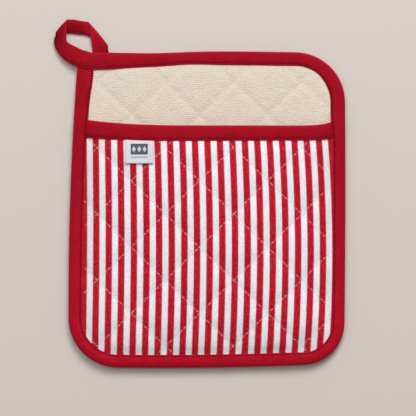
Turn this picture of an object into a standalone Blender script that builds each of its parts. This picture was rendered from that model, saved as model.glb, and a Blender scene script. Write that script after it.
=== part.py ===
"""A quilted kitchen pocket mitt lying flat with its pocket up.

The back panel and the pocket panel are each a sandwich of striped cotton cover, batting and terry
lining, quilted with a diamond lattice of thread. A folded tape binds the whole edge, a second one binds
the pocket's mouth, and the edge tape's tail makes the hanging loop at the top left corner. Metres, +Z up,
+X across the mitt and +Y from the pocket's closed end towards the loop. The origin is the middle of the
back panel's underside, which rests on the table.
"""

import math

import bmesh
import bpy
from mathutils import Vector

# Outline of the body, without the loop.
HALF_WIDTH = 0.1018
TOP_Y = 0.1164
BOTTOM_Y = -0.1157
LEFT_LEAN = 0.0070  # how far the left edge leans in at the top corner
LEAN_START_Y = -0.070
TOP_BOW = 0.0016  # how far the top edge falls away over TOP_BOW_SPAN from the middle
TOP_BOW_SPAN = 0.100
BOTTOM_TILT = 0.0175  # rise of the bottom edge per metre of width
TOP_RIGHT_RADIUS = 0.033
BOTTOM_RIGHT_RADIUS = 0.030
BOTTOM_LEFT_RADIUS = 0.029

# Pocket mouth: the edge of its band, which turns up where it meets the side bindings.
MOUTH_Y = 0.0622
LEFT_RISE = 0.0046
LEFT_RISE_POWER = 3
RIGHT_RISE = 0.0028
RIGHT_RISE_POWER = 12
MOUTH_HALF = 0.0915

# Layers of cloth.
GAP = 0.0003  # air between pieces that touch
COVER = 0.0008
BACK_BATTING = 0.0032
BACK_LINING = 0.0018
POCKET_BATTING = 0.0024
POCKET_LINING = 0.0015
TAPE = 0.0007  # one leg of a folded binding
THREAD = 0.0003
THREAD_WIDTH = 0.0005

# Bindings.
BINDING_HEIGHT = 0.0075
BINDING_WIDTH = 0.0095
BINDING_ROUND = 0.0012
BAND_WIDTH = 0.0108
SEAM_INSET = 0.0012  # from a binding's free edge to its row of stitches

# Pocket panel.
POCKET_CLEARANCE = 0.0004  # between the pocket panel and the edge binding
POCKET_ARCH = 0.0120  # how far the mouth stands open at its middle
ARCH_POWER_ACROSS = 2.2
ARCH_POWER_ALONG = 1.2
POCKET_OPEN_AXIS_Z = 0.0079

# Quilting: crossings of the diamond lattice.
QUILT_X = 0.0200
QUILT_Y = 0.0451
QUILT_STEP_X = 0.0250
QUILT_STEP_Y = 0.02427
ARCHED_RUNS = 3  # straight runs of thread between two crossings on the arched pocket
QUILT_SHORTEST = 0.004

# Label, a small woven flag caught under the pocket band by its top edge.
LABEL_X = (-0.0599, -0.0396)
LABEL_LENGTH = 0.0172
LABEL_THICKNESS = 0.0005
LABEL_BAND_GAP = 0.0008

# Hanging loop: the edge tape's tail, turned on itself.
LOOP_LOW = 0.0020
LOOP_HIGH = 0.0056
LOOP_LEFT_ROOT_Y = 0.1052
LOOP_HOLE_ROOT_X = (-0.0866, -0.0841)
LOOP_RIGHT_ROOT_X = -0.0716
LOOP_SEAM_INSET = 0.0016

# Straight pieces that stand in for each stretch of the outline.
BOTTOM_STEPS = 10
CORNER_STEPS = 6
SIDE_STEPS = 6
SHORT_SIDE_STEPS = 2
TOP_STEPS = 8
CURVE_STEPS = 5

RED = (0.39, 0.010, 0.017, 1)
DARK_RED = (0.16, 0.006, 0.010, 1)
STRIPE = (0.62, 0.28, 0.30, 1)
CREAM = (0.73, 0.64, 0.53, 1)
WHITE = (0.80, 0.79, 0.78, 1)
WADDING = (0.85, 0.84, 0.80, 1)


def left_x(y):
    """The left edge, leaning in towards the top."""
    climb = max(0.0, (y - LEAN_START_Y) / (TOP_Y - LEAN_START_Y))
    return -HALF_WIDTH + LEFT_LEAN * climb**2


def top_y(x):
    """The top edge, a shallow bow."""
    return TOP_Y - TOP_BOW * (x / TOP_BOW_SPAN) ** 2


def bottom_y(x):
    """The bottom edge, cut slightly out of square."""
    return BOTTOM_Y + BOTTOM_TILT * x


def mouth_y(x):
    """The pocket's mouth, straight in the middle and turned up at both ends."""
    if x < 0:
        return MOUTH_Y + LEFT_RISE * (-x / MOUTH_HALF) ** LEFT_RISE_POWER
    return MOUTH_Y + RIGHT_RISE * (x / MOUTH_HALF) ** RIGHT_RISE_POWER


def spread(first, last, steps):
    """Evenly spaced values from first up to, but not including, last."""
    return [first + (last - first) * i / steps for i in range(steps)]


def arc(centre, radius, first, last, steps):
    """Points on an arc between two angles in degrees, without its last point."""
    angles = [math.radians(a) for a in spread(first, last, steps)]
    return [(centre[0] + radius * math.cos(a), centre[1] + radius * math.sin(a)) for a in angles]


def edge_runs():
    """The body's edge as named runs of points, anticlockwise from the bottom left corner's end."""
    low_right = (HALF_WIDTH - BOTTOM_RIGHT_RADIUS, bottom_y(HALF_WIDTH) + BOTTOM_RIGHT_RADIUS)
    high_right = (HALF_WIDTH - TOP_RIGHT_RADIUS, top_y(HALF_WIDTH) - TOP_RIGHT_RADIUS)
    low_left = (-HALF_WIDTH + BOTTOM_LEFT_RADIUS, bottom_y(-HALF_WIDTH) + BOTTOM_LEFT_RADIUS)
    corner_x = left_x(TOP_Y)
    right_mouth = mouth_y(HALF_WIDTH - BINDING_WIDTH)
    left_mouth = mouth_y(BINDING_WIDTH - HALF_WIDTH)
    return [
        ("bottom", [(x, bottom_y(x)) for x in spread(low_left[0], low_right[0], BOTTOM_STEPS)]),
        ("low_right", arc(low_right, BOTTOM_RIGHT_RADIUS, -90, 0, CORNER_STEPS)),
        ("right", [(HALF_WIDTH, y) for y in spread(low_right[1], right_mouth, SIDE_STEPS)]),
        ("high_right_side", [(HALF_WIDTH, y) for y in spread(right_mouth, high_right[1], SHORT_SIDE_STEPS)]),
        ("high_right", arc(high_right, TOP_RIGHT_RADIUS, 0, 90, CORNER_STEPS)),
        ("top", [(x, top_y(x)) for x in spread(high_right[0], corner_x, TOP_STEPS)]),
        ("high_left_side", [(left_x(y), y) for y in spread(top_y(corner_x), left_mouth, SHORT_SIDE_STEPS)]),
        ("left", [(left_x(y), y) for y in spread(left_mouth, low_left[1], SIDE_STEPS)]),
        ("low_left", arc(low_left, BOTTOM_LEFT_RADIUS, 180, 270, CORNER_STEPS)),
    ]


def inset_point(before, here, after, inset):
    """The corner of two edges moved inwards by inset, for edges that run anticlockwise."""
    into = Vector(here) - Vector(before)
    out = Vector(after) - Vector(here)
    normal = (Vector((-into.y, into.x)).normalized() + Vector((-out.y, out.x)).normalized()).normalized()
    cosine = normal.dot(Vector((-out.y, out.x)).normalized())
    return (here[0] + normal.x * inset / cosine, here[1] + normal.y * inset / cosine)


def outline(inset):
    """The body's edge moved inwards: a list of points."""
    points = [p for _, run in edge_runs() for p in run]
    count = len(points)
    return [inset_point(points[i - 1], points[i], points[(i + 1) % count], inset) for i in range(count)]


def inset_run(names, inset):
    """Neighbouring named runs of the inset edge joined, with the point that ends the last one."""
    points = outline(inset)
    first = 0
    wanted = []
    for name, run in edge_runs():
        if name in names:
            wanted.extend(range(first, first + len(run)))
        first += len(run)
    wanted.append((wanted[-1] + 1) % len(points))
    return [points[i] for i in wanted]


def arch(x, y):
    """How far the pocket panel stands off the back panel: most at the middle of its mouth."""
    low = left_x(y) + BINDING_WIDTH
    high = HALF_WIDTH - BINDING_WIDTH
    across = abs(2 * (x - low) / (high - low) - 1)
    along = (y - bottom_y(x) - BINDING_WIDTH) / (mouth_y(x) - bottom_y(x) - BINDING_WIDTH)
    along = min(1.0, max(0.0, along))
    side = max(0.0, 1 - across**ARCH_POWER_ACROSS)
    return POCKET_ARCH * side * math.sin(math.pi / 2 * along) ** ARCH_POWER_ALONG


# Heights of the layers, from the table up. The pocket's heights are those at its sides.
BACK_BATTING_Z = COVER + GAP
BACK_LINING_Z = BACK_BATTING_Z + BACK_BATTING + GAP
BACK_TOP = BACK_LINING_Z + BACK_LINING
BACK_THREAD_Z = BACK_TOP + GAP
BAND_Z = BACK_THREAD_Z + THREAD + GAP
POCKET_LINING_Z = BAND_Z + TAPE + GAP
POCKET_BATTING_Z = POCKET_LINING_Z + POCKET_LINING + GAP
POCKET_COVER_Z = POCKET_BATTING_Z + POCKET_BATTING + GAP
POCKET_TOP = POCKET_COVER_Z + COVER
POCKET_THREAD_Z = POCKET_TOP + GAP
LABEL_Z = POCKET_THREAD_Z + THREAD + GAP
LABEL_TOP_Y = MOUTH_Y - BAND_WIDTH - LABEL_BAND_GAP


def clear_scene():
    for old in list(bpy.data.objects):
        bpy.data.objects.remove(old, do_unlink=True)


def cloth(name, colour, roughness):
    """A plain cloth or thread material."""
    material = bpy.data.materials.new(name)
    material.use_nodes = True
    shader = material.node_tree.nodes["Principled BSDF"]
    shader.inputs["Base Color"].default_value = colour
    shader.inputs["Roughness"].default_value = roughness
    shader.inputs["Metallic"].default_value = 0.0
    return material


def add_hinge(name, position, parent=None):
    """An empty on a joint's axis, which the moving pieces hang from."""
    hinge = bpy.data.objects.new(name, None)
    bpy.context.collection.objects.link(hinge)
    hinge.parent = parent
    hinge.location = Vector(position) - (parent.matrix_world.translation if parent else Vector())
    bpy.context.view_layer.update()
    return hinge


def add_piece(name, bm, colour, roughness, hinge=None):
    """Turns a closed bmesh in world coordinates into a named object, hung from its hinge if it has one."""
    bmesh.ops.recalc_face_normals(bm, faces=bm.faces)
    mesh = bpy.data.meshes.new(name)
    bm.to_mesh(mesh)
    bm.free()
    mesh.materials.append(cloth(name, colour, roughness))
    piece = bpy.data.objects.new(name, mesh)
    bpy.context.collection.objects.link(piece)
    if hinge:
        mesh.transform(hinge.matrix_world.inverted())
        piece.parent = hinge
    mesh.shade_smooth()
    mesh.set_sharp_from_angle(angle=math.radians(35))
    return piece


def loft(sections, closed):
    """Joins sections with equal numbers of points. A closed loft is a ring; an open one gets two end faces."""
    bm = bmesh.new()
    rows = [[bm.verts.new(p) for p in section] for section in sections]
    pairs = list(zip(rows, rows[1:]))
    if closed:
        pairs.append((rows[-1], rows[0]))
    else:
        bm.faces.new(rows[0])
        bm.faces.new(rows[-1])
    for here, there in pairs:
        for i in range(len(here)):
            bm.faces.new((here[i - 1], here[i], there[i], there[i - 1]))
    return bm


def thicken(bm, faces, thickness):
    """Raises a copy of some faces straight up and closes the sides."""
    raised = bmesh.ops.extrude_face_region(bm, geom=faces)["geom"]
    points = [g for g in raised if isinstance(g, bmesh.types.BMVert)]
    bmesh.ops.translate(bm, verts=points, vec=(0, 0, thickness))


def panel_layer(name, low, high, low_edge, high_edge, colour, roughness):
    """One layer of the back panel: flat, and pressed thinner where the edge binding holds it."""
    inside = BINDING_WIDTH + 3 * GAP
    free = inside + 0.003
    edge = TAPE + 2 * GAP + BINDING_ROUND
    steps = [(free, low), (inside, low_edge), (edge, low_edge), (edge, high_edge), (inside, high_edge)]
    steps.append((free, high))
    sections = [[(x, y, z) for x, y in outline(inset)] for inset, z in steps]
    add_piece(name, loft(sections, closed=False), colour, roughness)


def pocket_grid(inset, height):
    """Rows of points over the pocket panel at one height above the table, arched, from bottom to mouth."""
    left = inset_run(("left", "low_left"), inset)[::-1]
    right = inset_run(("low_right", "right"), inset)
    bottom = inset_run(("bottom",), inset)
    wall = TAPE + GAP
    left[-1] = (left[-1][0], mouth_y(left[-1][0]) - wall)
    right[-1] = (right[-1][0], mouth_y(right[-1][0]) - wall)
    columns = len(bottom) - 1
    rows = len(left) - 1
    top = []
    for i in range(columns + 1):
        x = left[-1][0] + (right[-1][0] - left[-1][0]) * i / columns
        top.append((x, mouth_y(x) - wall))
    grid = []
    for j in range(rows + 1):
        s = j / rows
        row = []
        for i in range(columns + 1):
            u = i / columns
            x, y = (
                (1 - s) * bottom[i][k]
                + s * top[i][k]
                + (1 - u) * left[j][k]
                + u * right[j][k]
                - (1 - s) * ((1 - u) * bottom[0][k] + u * bottom[-1][k])
                - s * ((1 - u) * top[0][k] + u * top[-1][k])
                for k in (0, 1)
            )
            row.append((x, y, height + arch(x, y)))
        grid.append(row)
    return grid


def pocket_layer(name, low, thickness, colour, roughness, hinge):
    """One layer of the pocket panel."""
    bm = bmesh.new()
    rows = [[bm.verts.new(p) for p in row] for row in pocket_grid(BINDING_WIDTH + POCKET_CLEARANCE, low)]
    for below, above in zip(rows, rows[1:]):
        for i in range(len(below) - 1):
            bm.faces.new((below[i], below[i + 1], above[i + 1], above[i]))
    thicken(bm, bm.faces[:], thickness)
    add_piece(name, bm, colour, roughness, hinge)


def edge_binding():
    """The tape folded over the panels' edge, a U in section, all the way round."""
    high = BINDING_HEIGHT
    inner = TAPE + BINDING_ROUND
    profile = [
        (BINDING_WIDTH, 0),
        (BINDING_ROUND, 0),
        (0, BINDING_ROUND),
        (0, high - BINDING_ROUND),
        (BINDING_ROUND, high),
        (BINDING_WIDTH, high),
        (BINDING_WIDTH, high - TAPE),
        (inner, high - TAPE),
        (TAPE, high - inner),
        (TAPE, inner),
        (inner, TAPE),
        (BINDING_WIDTH, TAPE),
    ]
    rings = [[(x, y, z) for x, y in outline(inset)] for inset, z in profile]
    add_piece("edge_binding", loft([list(s) for s in zip(*rings)], closed=True), RED, 0.85)


def edge_seam_thread():
    """The row of stitches round the edge binding's free edge."""
    middle = BINDING_WIDTH - SEAM_INSET
    low = BINDING_HEIGHT + GAP
    sides = (middle - THREAD_WIDTH / 2, middle + THREAD_WIDTH / 2)
    corners = [(sides[0], low), (sides[1], low), (sides[1], low + THREAD), (sides[0], low + THREAD)]
    rings = [[(x, y, z) for x, y in outline(inset)] for inset, z in corners]
    add_piece("edge_seam_thread", loft([list(s) for s in zip(*rings)], closed=True), DARK_RED, 0.6)


def along_mouth(corners):
    """A section swept along the pocket's mouth: corners are (distance in from the mouth, height)."""
    mouth = pocket_grid(BINDING_WIDTH + POCKET_CLEARANCE, 0.0)[-1]
    sections = []
    for x, _, rise in mouth:
        sections.append([(x, mouth_y(x) - depth, z + rise) for depth, z in corners])
    return loft(sections, closed=False)


def pocket_binding(hinge):
    """The tape folded over the pocket's mouth, a U in section."""
    high = POCKET_TOP + GAP + TAPE
    corners = [
        (BAND_WIDTH, BAND_Z),
        (0, BAND_Z),
        (0, high),
        (BAND_WIDTH, high),
        (BAND_WIDTH, high - TAPE),
        (TAPE, high - TAPE),
        (TAPE, BAND_Z + TAPE),
        (BAND_WIDTH, BAND_Z + TAPE),
    ]
    add_piece("pocket_binding", along_mouth(corners), RED, 0.85, hinge)


def pocket_seam_thread(hinge):
    """The row of stitches along the pocket band's lower edge, which also holds the label."""
    low = POCKET_TOP + GAP + TAPE + GAP
    sides = (BAND_WIDTH - SEAM_INSET + THREAD_WIDTH / 2, BAND_WIDTH - SEAM_INSET - THREAD_WIDTH / 2)
    corners = [(sides[0], low), (sides[1], low), (sides[1], low + THREAD), (sides[0], low + THREAD)]
    add_piece("pocket_seam_thread", along_mouth(corners), DARK_RED, 0.6, hinge)


def inside(points, x, y):
    """Whether a point lies inside a closed polygon."""
    found = False
    for (ax, ay), (bx, by) in zip(points, points[1:] + points[:1]):
        if (ay > y) != (by > y) and x < ax + (bx - ax) * (y - ay) / (by - ay):
            found = not found
    return found


def clipped_end(start, end, holds):
    """The last point of a straight run from start to end that is still on the cloth."""
    near = 0.0
    far = 1.0
    for _ in range(20):
        middle = (near + far) / 2
        if holds(start[0] + (end[0] - start[0]) * middle, start[1] + (end[1] - start[1]) * middle):
            near = middle
        else:
            far = middle
    return (start[0] + (end[0] - start[0]) * near, start[1] + (end[1] - start[1]) * near)


def quilting(name, holds, height, runs, hinge=None):
    """A diamond lattice of thread over the cloth where holds(x, y) is true, as one crossing network.
    Each stretch between two crossings has a number of straight runs."""
    reach = THREAD_WIDTH / math.sqrt(2)
    bm = bmesh.new()

    def vert(x, y):
        return bm.verts.new((x, y, height(x, y)))

    crossings = {}
    for i in range(-6, 5):
        for j in range(-4, 8):
            x = QUILT_X + QUILT_STEP_X * i
            y = QUILT_Y - QUILT_STEP_Y * j
            if (i + j) % 2 == 0 and holds(x, y):
                tips = {"e": vert(x + reach, y), "n": vert(x, y + reach)}
                tips.update(w=vert(x - reach, y), s=vert(x, y - reach))
                crossings[i, j] = ((x, y), tips)
                bm.faces.new((tips["e"], tips["n"], tips["w"], tips["s"]))

    arms = [((1, -1), "e", "n"), ((-1, -1), "n", "w"), ((-1, 1), "w", "s"), ((1, 1), "s", "e")]
    for (i, j), (start, tips) in crossings.items():
        for (di, dj), right, left in arms:
            end = (start[0] + QUILT_STEP_X * di, start[1] - QUILT_STEP_Y * dj)
            met = crossings.get((i + di, j + dj))
            if met and dj > 0:
                continue
            if not met:
                end = clipped_end(start, end, holds)
            run = Vector(end) - Vector(start)
            if run.length < QUILT_SHORTEST:
                continue
            side = Vector((run.y, -run.x)).normalized() * THREAD_WIDTH / 2
            row = (tips[right], tips[left])
            for step in range(1, runs + 1):
                at = Vector(start) + run * step / runs
                if step == runs and met:
                    far_tips = {"e": "s", "n": "w"} if (right, left) == ("e", "n") else {"n": "e", "w": "s"}
                    new = (met[1][far_tips[right]], met[1][far_tips[left]])
                else:
                    new = (vert(at.x + side.x, at.y + side.y), vert(at.x - side.x, at.y - side.y))
                bm.faces.new((row[0], new[0], new[1], row[1]))
                row = new
    thicken(bm, bm.faces[:], THREAD)
    add_piece(name, bm, WHITE, 0.6, hinge)


def label_point(x, y):
    """A point on the label's underside, which lies over the arched cover."""
    return Vector((x, y, LABEL_Z + arch(x, y)))


def label(hinge):
    """The woven flag, hanging free from its top edge."""
    bm = bmesh.new()
    columns = [LABEL_X[0], sum(LABEL_X) / 2, LABEL_X[1]]
    heights = [LABEL_TOP_Y - LABEL_LENGTH, LABEL_TOP_Y]
    rows = [[bm.verts.new(label_point(x, y)) for x in columns] for y in heights]
    for i in range(2):
        bm.faces.new((rows[0][i], rows[0][i + 1], rows[1][i + 1], rows[1][i]))
    thicken(bm, bm.faces[:], LABEL_THICKNESS)
    add_piece("label", bm, WHITE, 0.7, hinge)


def bezier(a, b, c, d):
    """A cubic curve from a towards d, without its last point."""
    points = []
    for t in spread(0.0, 1.0, CURVE_STEPS):
        k = ((1 - t) ** 3, 3 * t * (1 - t) ** 2, 3 * t * t * (1 - t), t**3)
        points.append(tuple(k[0] * a[i] + k[1] * b[i] + k[2] * c[i] + k[3] * d[i] for i in (0, 1)))
    return points


def loop_outline(grow=0.0):
    """The loop in plan: round its outer side, then back round its hole. grow moves its outer side inwards."""
    top_left = (-0.1032 + grow / 2, 0.1392 - grow)
    top_right = (-0.0870 - grow / 2, 0.1381 - grow)
    shoulder = (-0.0750 - grow, 0.1250 - grow / 2)
    right_root = (LOOP_RIGHT_ROOT_X - grow, top_y(LOOP_RIGHT_ROOT_X) + GAP)
    left_root = (left_x(LOOP_LEFT_ROOT_Y) - GAP, LOOP_LEFT_ROOT_Y + grow)
    outer = [right_root]
    outer += bezier(right_root, (-0.0716 - grow, 0.1195), (-0.0726 - grow, 0.1228), shoulder)[1:]
    outer += [shoulder, top_right]
    outer += bezier(top_left, (-0.1170 + grow, 0.1270), (-0.1100 + grow, 0.1120 + grow), left_root)
    outer.append(left_root)
    return outer


def loop_hole():
    """The loop's inner edge, from the root beside the corner round to the right leg's root."""
    left, right = LOOP_HOLE_ROOT_X
    low_left = (-0.1010, 0.1228)
    inner = [(left, top_y(left) + GAP), (-0.0920, 0.1184), low_left]
    inner += bezier(low_left, (-0.1034, 0.1238), (-0.1036, 0.1260), (-0.1025, 0.1296))[1:]
    inner += [(-0.1025, 0.1296), (-0.0855, 0.1267), (-0.0841, 0.1208), (right, top_y(right) + GAP)]
    return inner


def loop_axis_point():
    """The middle of the loop's left root, level with the top of the edge binding."""
    corner_y = top_y(left_x(TOP_Y))
    y = (LOOP_LEFT_ROOT_Y + corner_y) / 2
    return (left_x(y), y, BINDING_HEIGHT)


def hanging_loop(hinge):
    """The loop, a flat strip turned round on itself, rooted at the body's top left corner."""
    corner = (left_x(TOP_Y) - GAP, top_y(left_x(TOP_Y)) + GAP)
    plan = loop_outline() + [corner] + loop_hole()
    bm = bmesh.new()
    face = bm.faces.new([bm.verts.new((x, y, LOOP_LOW)) for x, y in plan])
    thicken(bm, [face], LOOP_HIGH - LOOP_LOW)
    add_piece("hanging_loop", bm, RED, 0.85, hinge)


def loop_seam_thread(hinge):
    """The row of stitches along the loop's outer edge."""
    low = LOOP_HIGH + GAP
    near = loop_outline(LOOP_SEAM_INSET)[1:-1]
    far = loop_outline(LOOP_SEAM_INSET + THREAD_WIDTH)[1:-1]
    sections = []
    for (ax, ay), (bx, by) in zip(near, far):
        sections.append([(ax, ay, low), (bx, by, low), (bx, by, low + THREAD), (ax, ay, low + THREAD)])
    add_piece("loop_seam_thread", loft(sections, closed=False), DARK_RED, 0.6, hinge)


def build():
    clear_scene()
    pocket_hinge = add_hinge("pocket_hinge", (0, bottom_y(0) + BINDING_WIDTH, POCKET_OPEN_AXIS_Z))
    label_hinge = add_hinge("label_hinge", label_point(sum(LABEL_X) / 2, LABEL_TOP_Y), pocket_hinge)
    loop_hinge = add_hinge("loop_hinge", loop_axis_point())

    pressed = TAPE + GAP
    panel_layer("back_cover", 0, COVER, pressed, pressed + COVER, STRIPE, 0.85)
    batting_edge = pressed + COVER + GAP
    batting_top = BACK_BATTING_Z + BACK_BATTING
    panel_layer("back_batting", BACK_BATTING_Z, batting_top, batting_edge, batting_top, WADDING, 0.95)
    panel_layer("back_lining", BACK_LINING_Z, BACK_TOP, BACK_LINING_Z, BACK_TOP, CREAM, 0.95)

    cloth_edge = BINDING_WIDTH + 6 * GAP
    whole = outline(cloth_edge)
    quilting("back_quilting_thread", lambda x, y: inside(whole, x, y), lambda x, y: BACK_THREAD_Z, 1)

    pocket_layer("pocket_lining", POCKET_LINING_Z, POCKET_LINING, CREAM, 0.95, pocket_hinge)
    pocket_layer("pocket_batting", POCKET_BATTING_Z, POCKET_BATTING, WADDING, 0.95, pocket_hinge)
    pocket_layer("pocket_cover", POCKET_COVER_Z, COVER, STRIPE, 0.85, pocket_hinge)

    def on_pocket(x, y):
        return inside(whole, x, y) and y < mouth_y(x) - BAND_WIDTH - 3 * GAP

    def pocket_thread_z(x, y):
        return POCKET_THREAD_Z + arch(x, y)

    quilting("pocket_quilting_thread", on_pocket, pocket_thread_z, ARCHED_RUNS, pocket_hinge)
    pocket_binding(pocket_hinge)
    pocket_seam_thread(pocket_hinge)
    label(label_hinge)

    edge_binding()
    edge_seam_thread()
    hanging_loop(loop_hinge)
    loop_seam_thread(loop_hinge)


build()
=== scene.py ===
"""The looks of a quilted kitchen pocket mitt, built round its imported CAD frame.

Every cloth, padding, tape, row of stitches and label is its own piece and stands for one CAD node. The cloths
and paddings are laid on a grid that follows the quilting, puffed by cloth simulation, and shaped over the
heights of the frame's layers. The edge tape and the hanging loop are one folded tape, as on the real mitt.
Metres, in the frame's own axes: +X across, +Y towards the loop, +Z up from the table.
"""

import math

import bmesh
import bpy
import numpy as np
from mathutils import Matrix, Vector, noise
from mathutils.bvhtree import BVHTree


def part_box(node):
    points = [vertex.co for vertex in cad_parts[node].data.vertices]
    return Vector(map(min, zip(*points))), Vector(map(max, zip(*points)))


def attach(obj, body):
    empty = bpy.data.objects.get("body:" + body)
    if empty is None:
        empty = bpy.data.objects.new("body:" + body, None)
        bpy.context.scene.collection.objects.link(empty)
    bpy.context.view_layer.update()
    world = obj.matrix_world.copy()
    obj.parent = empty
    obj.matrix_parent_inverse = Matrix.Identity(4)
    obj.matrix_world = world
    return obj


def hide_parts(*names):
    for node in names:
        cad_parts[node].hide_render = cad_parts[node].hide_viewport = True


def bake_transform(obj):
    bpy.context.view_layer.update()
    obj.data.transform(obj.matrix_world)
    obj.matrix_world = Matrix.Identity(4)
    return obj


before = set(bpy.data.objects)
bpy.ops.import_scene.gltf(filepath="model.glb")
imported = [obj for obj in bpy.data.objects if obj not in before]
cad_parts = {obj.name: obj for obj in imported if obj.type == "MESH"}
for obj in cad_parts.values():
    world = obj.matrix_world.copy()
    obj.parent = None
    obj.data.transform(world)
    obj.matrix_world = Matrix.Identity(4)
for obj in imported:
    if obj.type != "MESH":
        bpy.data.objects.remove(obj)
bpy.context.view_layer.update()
MM = 0.001

# The outline and the pocket's mouth: the frame's design, with slightly fuller edges and rounder corners.
HALF_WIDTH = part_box("edge_binding")[1].x
TOP_Y = 0.1164
BOTTOM_Y = -0.1157
LEFT_EDGE = 0.3 * MM - HALF_WIDTH
LEFT_LEAN = 0.0072
LEAN_START_Y = -0.070
TOP_BOW = 0.0016
TOP_BOW_SPAN = 0.100
BOTTOM_TILT = 0.0140
TOP_RIGHT_RADIUS = 0.037
BOTTOM_RIGHT_RADIUS = 0.0315
BOTTOM_LEFT_RADIUS = 0.0366
BOTTOM_BOW = 0.0009
RIGHT_BOW = 0.0004
RIGHT_LEAN = 0.00045
MOUTH_Y = 0.0613
LEFT_RISE = 0.0051
RIGHT_RISE = 0.0028
MOUTH_HALF = 0.0915
BINDING_WIDTH = 0.0095
POCKET_ARCH = 0.0120

# Quilting: crossings of the diamond lattice.
QUILT_X = 0.0200
QUILT_Y = 0.0451
QUILT_STEP_X = 0.0250
QUILT_STEP_Y = 0.02427

# Thickness of each cloth, and heights where the layers are sewn together at the edge.
COVER = 0.6 * MM
TERRY = 1.3 * MM
POCKET_TERRY = 1.1 * MM
TAPE = 0.7 * MM
AIR = 0.1 * MM  # between a cloth and its padding
EDGE_BACK_LOW = 0.9 * MM
EDGE_BACK_HIGH = 5.7 * MM
EDGE_POCKET_MIDDLE = 6.9 * MM
EDGE_POCKET_HALF = 1.1 * MM
POCKET_MIDDLE = (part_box("pocket_lining")[0].z + 13.6 * MM) / 2
POCKET_HALF = 1.7 * MM
POCKET_EASE = 28 * MM  # how far in from the binding the pocket reaches its full height
REAR_HOLLOW = 0.35 * MM  # how far the back's two faces draw in, from the binding to 12 mm within it
TERRY_HOLLOW = 0.15 * MM
TAIL_LIFT = 1.85 * MM  # how far the loop's end lifts the back at the top left

# Edge tape.
TAPE_TOP_TERRY = 6.6 * MM
TAPE_TOP_POCKET = 8.8 * MM
TAPE_TOP_CORNER = 7.5 * MM
TAPE_LOW = 0.05 * MM
TAPE_ROUND = 3.0 * MM
OVER_BAND = 0.5 * MM  # how much the side tapes rise where the band's ends lie under them
WIDE_INSET = 1.5 * MM  # from the tape's free edge to its seam: the top, the loop and the band
NARROW_INSET = 1.0 * MM

# Stripes, in the cloth's own coordinates.
STRIPE_PITCH = 9.157 * MM
STRIPE_START = -86.35 * MM
STRIPE_WHITE = 4.30 * MM


def smooth(value):
    """0 to 1 with flat ends, for a number or an array."""
    value = np.clip(value, 0.0, 1.0)
    return value * value * (3 - 2 * value)


def rising(value, start, length):
    """0 to 1 as a value in metres climbs past start, over a length, both in millimetres."""
    return smooth((value - start * MM) / (length * MM))


def bell(value, centre, spread):
    """1 at the centre and 0 far from it, for a value in metres and a centre and spread in millimetres."""
    return math.exp(-(((value - centre * MM) / (spread * MM)) ** 2))


# ---- outline

def left_x(y):
    climb = np.maximum(0.0, (y - LEAN_START_Y) / (TOP_Y - LEAN_START_Y))
    return LEFT_EDGE + LEFT_LEAN * climb**2


def top_y(x):
    return TOP_Y - TOP_BOW * (x / TOP_BOW_SPAN) ** 2


def bottom_y(x):
    return BOTTOM_Y + BOTTOM_TILT * x


def mouth_y(x):
    share = np.minimum(np.abs(x) / MOUTH_HALF, 1.02)
    return MOUTH_Y + np.where(x < 0, LEFT_RISE * share**3, RIGHT_RISE * share**12)


def arc(centre, radius, first, last, steps):
    angles = np.radians(np.linspace(first, last, steps, endpoint=False))
    return np.stack([centre[0] + radius * np.cos(angles), centre[1] + radius * np.sin(angles)], axis=1)


def edge_runs(steps=24):
    """The body's edge as named runs of plan points, anticlockwise from the top left corner."""
    low_tilt = math.atan(BOTTOM_TILT)
    high_tilt = math.atan(2 * TOP_BOW * (HALF_WIDTH - TOP_RIGHT_RADIUS) / TOP_BOW_SPAN**2)

    def low_corner(x, radius):
        return (x, bottom_y(x) + radius / math.cos(low_tilt))

    low_left = low_corner(BOTTOM_LEFT_RADIUS + LEFT_EDGE, BOTTOM_LEFT_RADIUS)
    low_right = low_corner(HALF_WIDTH - BOTTOM_RIGHT_RADIUS, BOTTOM_RIGHT_RADIUS)
    high_x = HALF_WIDTH + RIGHT_LEAN - TOP_RIGHT_RADIUS
    high_right = (high_x, top_y(high_x) - TOP_RIGHT_RADIUS / math.cos(high_tilt))
    corner_x = left_x(TOP_Y)
    down = np.linspace(top_y(corner_x), low_left[1], steps, endpoint=False)
    first_x = low_left[0] + BOTTOM_LEFT_RADIUS * math.sin(low_tilt)
    last_x = low_right[0] + BOTTOM_RIGHT_RADIUS * math.sin(low_tilt)
    along = np.linspace(first_x, last_x, steps, endpoint=False)
    up = np.linspace(low_right[1], high_right[1], steps, endpoint=False)
    back = np.linspace(high_x + TOP_RIGHT_RADIUS * math.sin(high_tilt), corner_x, steps, endpoint=False)
    low_angle = math.degrees(low_tilt)
    low_bow = BOTTOM_BOW * (1 - ((2 * along - first_x - last_x) / (last_x - first_x)) ** 2)
    climb = (up - up[0]) / (high_right[1] - up[0])
    right_bow = RIGHT_LEAN * climb + RIGHT_BOW * np.sin(math.pi * climb)
    return {
        "left": np.stack([left_x(down), down], axis=1),
        "low_left": arc(low_left, BOTTOM_LEFT_RADIUS, 180, 270 + low_angle, steps),
        "bottom": np.stack([along, bottom_y(along) - low_bow], axis=1),
        "low_right": arc(low_right, BOTTOM_RIGHT_RADIUS, -90 + low_angle, 0, steps),
        "right": np.stack([HALF_WIDTH + right_bow, up], axis=1),
        "high_right": arc(high_right, TOP_RIGHT_RADIUS, 0, 90 - math.degrees(high_tilt), steps),
        "top": np.stack([back, top_y(back)], axis=1),
    }


RUNS = edge_runs()


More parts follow.
